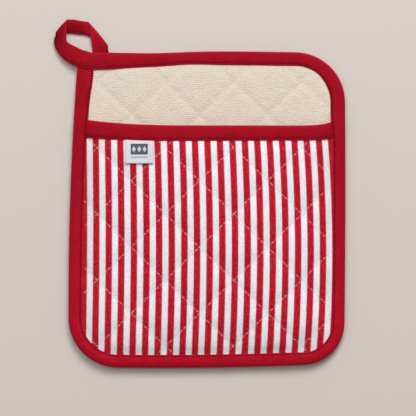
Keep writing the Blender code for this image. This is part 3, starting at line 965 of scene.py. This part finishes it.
def edge_stations():
    """Stations of the edge tape from the top left corner round to where the loop leaves the top edge."""
    names, places = [], []
    for name, run in RUNS.items():
        names += [name] * len(run)
        places.append(run)
    line = np.concatenate(places + [[(left_x(TOP_Y), top_y(left_x(TOP_Y)))]])
    names.append("top")
    lengths = lengths_along(line)
    count = int(lengths[-1] / STATION_STEP)
    stations = []
    for at in np.linspace(0, lengths[-1], count):
        i = min(int(np.searchsorted(lengths, at, side="right")) - 1, len(line) - 2)
        share = (at - lengths[i]) / (lengths[i + 1] - lengths[i])
        here = line[i] + (line[i + 1] - line[i]) * share
        name = names[i]
        if name == "top" and here[0] < LOOP_START_X:
            break
        ahead, behind = line[min(i + 2, len(line) - 1)], line[max(i - 1, 0)]
        if (name == "top" and names[max(i - 1, 0)] != "top") or i == 0:
            behind = line[i]
        along = (ahead - behind) / np.linalg.norm(ahead - behind)
        inward = np.array([-along[1], along[0]])
        if name == "top":
            here = here + inward * TOP_DENT * bell(here[0], -38, 27)
        stations.append((name, here, inward))
    widths = np.array([face_width(name, here) for name, here, _ in stations])
    bounds = np.array([tape_heights(name, here) for name, here, _ in stations])
    kernel = np.ones(2 * EVEN_REACH + 1) / (2 * EVEN_REACH + 1)
    widths = np.convolve(np.pad(widths, EVEN_REACH, mode="edge"), kernel, mode="valid")
    widths[:-1] += SCALLOP * (-1.0) ** np.arange(len(widths) - 1)
    insets = np.array([WIDE_INSET if name == "top" else NARROW_INSET for name, _, _ in stations])
    insets = np.convolve(np.pad(insets, EVEN_REACH, mode="edge"), kernel, mode="valid")
    made = []
    for (_, here, inward), width, inset, (low, high) in zip(stations, widths, insets, bounds):
        fold = Vector((*here, (low + high) / 2))
        free = fold + Vector((*(inward * width), 0))
        made.append((fold, free, UP, (high - low) / 2, GROOVE, inset))
    return made


# The loop's tape: (fold edge x, y, z, free edge x, y, z, half height), in millimetres.
LEFT_LEG = (
    (-83.8, 115.28, 4.75, -83.8, 103.2, 4.75, 2.80),
    (-88.6, 116.6, 4.40, -89.5, 103.9, 4.20, 3.20),
    (-92.5, 117.9, 4.40, -95.0, 105.3, 3.60, 3.20),
    (-96.6, 120.0, 4.80, -100.8, 107.8, 3.00, 2.60),
    (-100.0, 121.6, 5.40, -106.2, 111.7, 2.50, 1.80),
    (-102.3, 123.2, 5.70, -110.4, 117.6, 2.20, 1.20),
    (-103.0, 125.6, 5.60, -111.9, 122.0, 2.40, 0.90),
    (-102.9, 130.4, 5.00, -111.9, 125.6, 3.20, 0.85),
)
TOP_STRETCH = (
    (-98.2, 139.9, 2.6, -103.0, 130.3, 1.2, 0.85),
    (-92.5, 138.9, 2.6, -93.9, 129.2, 1.0, 0.85),
    (-90.3, 138.6, 1.8, -87.5, 128.0, 1.0, 0.85),
)
RIGHT_LEG = (
    (-85.5, 127.6, 2.7, -72.2, 116.3, 2.4, 0.85),
    (-84.5, 121.4, 2.1, -71.9, 114.6, 1.7, 0.85),
    (-83.9, 116.6, 1.2, -71.8, 113.0, 1.1, 0.85),
    (-83.9, 112.0, 0.95, -71.7, 110.6, 0.95, 0.85),
    (-83.9, 107.0, 0.95, -71.7, 107.0, 0.95, 0.85),
)
# Each fold: both ends of its line in plan, the line's way, how much the tape slides along the line for each
# millimetre that it comes towards it and goes from it, and the heights that it comes in and goes out at.
FIRST_FOLD = ((-102.3, 140.2), (-110.6, 131.0), (0.669, 0.743), (1.31, 0.63), (4.4, 1.9))
SECOND_FOLD = ((-87.0, 138.3), (-72.9, 121.3), (0.638, -0.770), (1.07, 1.45), (1.0, 2.8))
LOOP_HALF = 0.85
FOLD_STEPS = 10


def fold_rows(fold):
    """Stations round one diagonal fold of the loop, with their normals: rows of (row, normal)."""
    *ends, along, slides, heights = fold
    radius = abs(heights[0] - heights[1]) / 2
    falling = 1 if heights[0] > heights[1] else -1
    outward = Vector((-along[1], along[0]))
    made = []
    for k in range(FOLD_STEPS + 1):
        turned = 2 * k / FOLD_STEPS - 1
        angle = -turned * falling * math.pi / 2
        reach = radius * math.cos(angle) - radius - LOOP_HALF
        slide = turned * (radius + LOOP_HALF) * slides[0 if turned < 0 else 1]
        z = (heights[0] + heights[1]) / 2 + radius * math.sin(angle)
        row = []
        for x, y in ends:
            row += [x + outward.x * reach + along[0] * slide, y + outward.y * reach + along[1] * slide, z]
        normal = Vector((outward.x * math.cos(angle), outward.y * math.cos(angle), math.sin(angle)))
        made.append((row + [LOOP_HALF], normal))
    return made


def loop_stations():
    """Stations of the hanging loop from the top edge round both folds to its end under the top binding."""
    first = fold_rows(FIRST_FOLD)
    second = fold_rows(SECOND_FOLD)
    rows = [(r, UP) for r in curve_through([*LEFT_LEG, first[0][0]], 7)[:-1]]
    rows += first
    rows += [(r, -UP) for r in curve_through([first[-1][0], *TOP_STRETCH, second[0][0]], 6)[1:-1]]
    rows += second
    rows += [(r, UP) for r in curve_through([second[-1][0], *RIGHT_LEG], 6)[1:]]
    made = []
    for row, up in rows:
        fold = Vector(row[0:3]) * MM
        free = Vector(row[3:6]) * MM
        half = row[6] * MM
        made.append((fold, free, up, half, min(GROOVE, half * 0.2), WIDE_INSET))
    return made


GOLDEN_TURN = 2.399  # radians, about the golden angle: stitch lengths vary by it without a short repeat
STITCH_STEP = 3.1 * MM  # how far apart the stitches lie in their thread's coordinates


def stitches(name, slot, places, length, width, height, sink, uneven):
    """Short rounded stitches at places of (middle, direction, up), diving into the cloth at both ends."""
    rings, sides = 7, 6
    t = np.linspace(-0.5, 0.5, rings)
    swell = np.sqrt(np.maximum(0.0, 1 - (2 * t) ** 4)) * 0.95 + 0.05
    angle = np.linspace(0, 2 * math.pi, sides, endpoint=False)
    points, cloth, faces = [], [], []
    for number, (middle, direction, up) in enumerate(places):
        side = direction.cross(up).normalized()
        lift = side.cross(direction).normalized()
        base = len(points)
        seen = length * (1 - uneven * (0.5 + 0.5 * math.sin(GOLDEN_TURN * number)))
        for i in range(rings):
            for j in range(sides):
                out = side * (math.cos(angle[j]) * width / 2 * swell[i])
                rise = lift * (math.sin(angle[j]) * height / 2 * swell[i] - sink * (2 * t[i]) ** 4)
                points.append(middle + direction * (t[i] * seen) + out + rise)
                cloth.append((angle[j] * width / 2, number * STITCH_STEP + t[i] * length, 0))
        faces += tube_faces(rings, sides, base)
    return new_piece(name, points, faces, slot, cloth)


def row_of_stitches(line, ups, pitch):
    """Places for stitches along a line of 3-D points."""
    line = np.asarray(line, float)
    lengths = lengths_along(line)

    def point_at(length):
        return Vector([np.interp(length, lengths, line[:, k]) for k in range(3)])

    places = []
    for at in np.arange(pitch / 2, lengths[-1] - pitch / 2, pitch):
        first, last = point_at(at - 0.4 * pitch), point_at(at + 0.4 * pitch)
        i = int(np.searchsorted(lengths, at))
        places.append(((first + last) / 2, (last - first).normalized(), ups[min(i, len(ups) - 1)]))
    return places


def seam_lines(stations, tape, lift):
    """The seam's line on both faces of a swept tape, just proud of its cloth."""
    skin = surface_of(tape)
    above, below = [], []
    for fold, free, up, half, groove, inset in stations:
        at = free - (free - fold).normalized() * inset
        for line, way in ((above, up), (below, -up)):
            hit = skin.ray_cast(at + way * (half + 0.6 * MM), -way, 1.6 * MM)[0]
            line.append((hit if hit is not None else at + way * (half - groove)) + way * lift)
    return above, below


SEAM_PITCH = 2.0 * MM
SEAM_LIFT = 0.10 * MM
SEAM_STITCH = dict(length=1.5 * MM, width=0.92 * MM, height=0.60 * MM, sink=0.36 * MM, uneven=0.3)


def sewn_seam(name, stations, tape):
    """Rows of stitches along both faces of a tape."""
    above, below = seam_lines(stations, tape, SEAM_LIFT)
    ups = [s[2] for s in stations]
    downs = [-up for up in ups]
    places = row_of_stitches(above, ups, SEAM_PITCH) + row_of_stitches(below, downs, SEAM_PITCH)
    return stitches(name, "seam_thread", places, **SEAM_STITCH)


body_stations = edge_stations()
loop_path = loop_stations()
body_stations.append(loop_path[0])
edge_tape = sweep_tape("edge_binding_tape", body_stations, wrinkle=0.20 * MM)
loop_tape = sweep_tape("hanging_loop_tape", loop_path, wrinkle=0.20 * MM, start_length=0.8)
edge_seam = sewn_seam("edge_binding_stitches", body_stations, edge_tape)
loop_seam = sewn_seam("hanging_loop_stitches", loop_path, loop_tape)


def band_stations():
    """Stations of the band along the pocket's mouth, flattened where its ends lie under the side bindings."""
    first = left_x(MOUTH_Y) + CLOTH_INSET
    last = HALF_WIDTH - CLOTH_INSET
    made = []
    for number, x in enumerate(np.arange(first, last, STATION_STEP)):
        y = mouth_y(x)
        slope = max(-0.15, min(0.15, (mouth_y(x + 1 * MM) - y) / (1 * MM)))
        inward = Vector((slope, -1, 0)).normalized()
        width = (11.1 - 0.5 * (x / HALF_WIDTH)) * MM + 0.35 * (y - MOUTH_Y) + SCALLOP * (-1) ** number
        here = np.array([x]), np.array([y - 5 * MM])
        clear = float(inset_of(*here, POCKET_EDGE)[0]) - BINDING_WIDTH
        full = rising(clear, -1.5, 7)
        half = float(pocket_half(*here)[0]) - 0.1 * MM + (TAPE + 0.25 * MM) * full
        fold = Vector((x, y, float(pocket_middle(*here)[0]) - 0.15 * MM * (1 - full)))
        made.append((fold, fold + inward * width, UP, half, GROOVE * full, WIDE_INSET))
    return made


band_path = band_stations()
band_tape = sweep_tape("pocket_band_tape", band_path, wrinkle=0.16 * MM)
band_seam = sewn_seam("pocket_band_stitches", band_path, band_tape)


# ---- quilting

QUILT_PITCH = 3.6 * MM
QUILT_STITCH = dict(length=3.3 * MM, width=0.37 * MM, height=0.32 * MM, sink=0.23 * MM, uneven=0.15)


def quilting_places(surface, from_above, inside, lift):
    """Places for the quilting's stitches on one face of a panel, along both ways of the lattice."""
    start_z, ray = (0.1, Vector((0, 0, -1))) if from_above else (-0.1, Vector((0, 0, 1)))
    places = []
    for way in (0, 1):
        for line in range(-REACH, REACH + 1):
            ends = [lattice_place(line, t) if way == 0 else lattice_place(t, line) for t in (-REACH, REACH)]
            a, b = Vector((*ends[0], 0)), Vector((*ends[1], 0))
            direction = (b - a).normalized()
            for k in range(int((b - a).length / QUILT_PITCH)):
                at = a + direction * (k + 0.5) * QUILT_PITCH
                if not inside(at.x, at.y):
                    continue
                touched = []
                for shift in (-0.5, 0, 0.5):
                    place = at + direction * shift * QUILT_STITCH["length"]
                    hit = surface.ray_cast(Vector((place.x, place.y, start_z)), ray)
                    if hit[0] is not None:
                        touched.append(hit[0])
                if len(touched) == 3:
                    middle = (touched[0] + touched[1] * 2 + touched[2]) / 4
                    along = (touched[2] - touched[0]).normalized()
                    places.append((middle - ray * lift, along, -ray))
    return places


def on_pocket(x, y):
    inset = inset_of(np.array([x]), np.array([y]), POCKET_EDGE)[0]
    return inset > BINDING_WIDTH + 1 * MM and y < mouth_y(x) - 12.5 * MM


def on_back(x, y):
    return inset_of(np.array([x]), np.array([y]), WHOLE_EDGE)[0] > BINDING_WIDTH + 2.5 * MM


COTTON_LIFT = 0.10 * MM
TERRY_LIFT = -0.10 * MM  # the stitches lie sunk among the loops
pocket_quilting = stitches(
    "pocket_quilting_stitches", "quilting_thread",
    quilting_places(surface_of(pocket_cover), True, on_pocket, COTTON_LIFT)
    + quilting_places(surface_of(pocket_lining), False, on_pocket, TERRY_LIFT),
    **QUILT_STITCH,
)
back_quilting = stitches(
    "back_quilting_stitches", "quilting_thread",
    quilting_places(surface_of(back_terry), True, on_back, TERRY_LIFT)
    + quilting_places(surface_of(back_cover), False, on_back, COTTON_LIFT),
    **QUILT_STITCH,
)


# ---- label

LABEL_LOW, LABEL_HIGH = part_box("label")
LABEL_TUCK = 1.2 * MM
LABEL_STEPS = 18
LABEL_SHIFT = 0.8 * MM  # further right than in the frame, as in the photo


def even_ground(x, y, surface):
    """Height of a surface under a grid, with its bumps smoothed and its general tilt kept."""
    down = Vector((0, 0, -1))
    hits = [surface.ray_cast(Vector((*at, 0.1)), down)[0] for at in zip(x.ravel(), y.ravel())]
    ground = np.array([LABEL_LOW.z if hit is None else hit.z for hit in hits])
    sides = np.column_stack([x.ravel(), y.ravel(), np.ones(x.size)])
    plane = (sides @ np.linalg.lstsq(sides, ground, rcond=None)[0]).reshape(x.shape)
    bumps = ground.reshape(x.shape) - plane
    for _ in range(30):
        wider = np.pad(bumps, 1, mode="edge")
        bumps = (wider[:-2, 1:-1] + wider[2:, 1:-1] + wider[1:-1, :-2] + wider[1:-1, 2:]) / 4
    return plane + bumps


def woven_flag():
    """A folded ribbon label: two plies joined at the lower end, its top edge caught under the band."""
    width = LABEL_HIGH.x - LABEL_LOW.x
    length = LABEL_HIGH.y - LABEL_LOW.y + LABEL_TUCK
    steps = np.linspace(0, 1, LABEL_STEPS + 1)
    u, down = np.meshgrid(steps - 0.5, steps)
    x = (LABEL_LOW.x + LABEL_HIGH.x) / 2 + LABEL_SHIFT + width * u
    y = LABEL_HIGH.y + LABEL_TUCK - length * down
    ground = even_ground(x, y, surface_of(pocket_cover)) - 0.3 * MM
    free = 0.2 + 0.8 * rising(length * down, 0, 4)
    curl = 0.5 * MM * down**2 + 0.35 * MM * (2 * u) ** 2 * down
    upper = np.stack([x, y, ground + 1.25 * MM * free + curl], axis=2)
    lower = np.stack([x, y, ground + 0.75 * MM * free + curl], axis=2)
    points = np.concatenate([upper, lower[::-1]]).reshape(-1, 3)
    front = np.stack([width * u, length * (0.5 - down), 0 * u], axis=2)
    rear = np.stack([width * u, 0 * u + 0.5, 0 * u], axis=2)
    cloth = np.concatenate([front, rear]).reshape(-1, 3)
    row = LABEL_STEPS + 1
    faces = []
    for r in range(2 * row - 1):
        for a in range(r * row, r * row + LABEL_STEPS):
            faces.append((a, a + row, a + row + 1, a + 1))
    piece = new_piece("label_ribbon", points, faces, "woven_label", cloth)
    thicken(piece, 0.22 * MM)
    return piece


label_ribbon = woven_flag()


# ---- frame calls

for piece in (pocket_cover, pocket_lining, pocket_pad, pocket_quilting, band_tape, band_seam):
    bend_with_pocket(piece)
for piece in (back_terry, back_cover, back_pad, back_quilting, edge_tape, edge_seam):
    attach(piece, "back")
for piece in (loop_tape, loop_seam):
    swing_with_loop(piece)
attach(label_ribbon, "label")

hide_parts("pocket_cover")
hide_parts("pocket_lining")
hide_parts("pocket_batting")
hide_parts("pocket_quilting_thread")
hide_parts("pocket_binding")
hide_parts("pocket_seam_thread")
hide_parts("back_lining")
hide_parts("back_cover")
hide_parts("back_batting")
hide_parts("back_quilting_thread")
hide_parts("edge_binding")
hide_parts("edge_seam_thread")
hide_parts("hanging_loop")
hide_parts("loop_seam_thread")
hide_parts("label")


# ---- stage

FLOOR_REACH = 3.0
FLOOR_Z = -0.4 * MM  # just under the mitt's lowest point at rest
KEY = dict(place=(0.35, 1.5, 1.9), size=1.2, power=42.5)
FILL = dict(place=(-0.3, 0.4, 1.5), size=1.0, power=8)
SURROUND = 0.28
VIEW_WIDTH = 0.306
LENS = 250
SENSOR = 36


def floor():
    """A plain pale floor with a faint mottle."""
    mesh = bpy.data.meshes.new("floor")
    corners = [(FLOOR_REACH * x, FLOOR_REACH * y, FLOOR_Z) for x, y in ((-1, -1), (1, -1), (1, 1), (-1, 1))]
    mesh.from_pydata(corners, [], [(0, 1, 2, 3)])
    piece = show("floor", mesh)
    f = Finish("floor", roughness=0.8, specular=0.2)
    mottle = f.node("ShaderNodeTexNoise")
    mottle.inputs["Scale"].default_value = 3.0
    tone = f.mix(mottle.outputs["Fac"], srgb(201, 193, 186), srgb(207, 199, 192))
    f.put(tone, f.shader.inputs["Base Color"])
    mesh.materials.append(f.material)


def area_light(name, place, size, power):
    """A round soft light that shines at the mitt's middle."""
    data = bpy.data.lights.new(name, "AREA")
    data.shape = "DISK"
    data.size = size
    data.energy = power
    light = show(name, data)
    light.location = place
    light.rotation_euler = (-Vector(place)).to_track_quat("-Z", "Y").to_euler()


def studio():
    """Soft light from beyond the loop's end of the mitt, a weaker one above it and a little all round."""
    area_light("key", **KEY)
    area_light("fill", **FILL)
    world = bpy.data.worlds.new("studio")
    world.use_nodes = True
    background = world.node_tree.nodes["Background"]
    background.inputs["Color"].default_value = (1.0, 1.0, 1.0, 1)
    background.inputs["Strength"].default_value = SURROUND
    scene = bpy.context.scene
    scene.world = world
    scene.view_settings.view_transform = "Standard"
    scene.view_settings.look = "None"


def camera():
    """Straight above the mitt, with a long lens that takes in 306 mm across."""
    data = bpy.data.cameras.new("camera")
    data.lens = LENS
    data.sensor_width = SENSOR
    data.clip_start = 0.05
    data.clip_end = 20
    eye = show("camera", data)
    eye.location = (1.25 * MM, 0.92 * MM, VIEW_WIDTH * data.lens / data.sensor_width + 7 * MM)
    bpy.context.scene.camera = eye


floor()
studio()
camera()
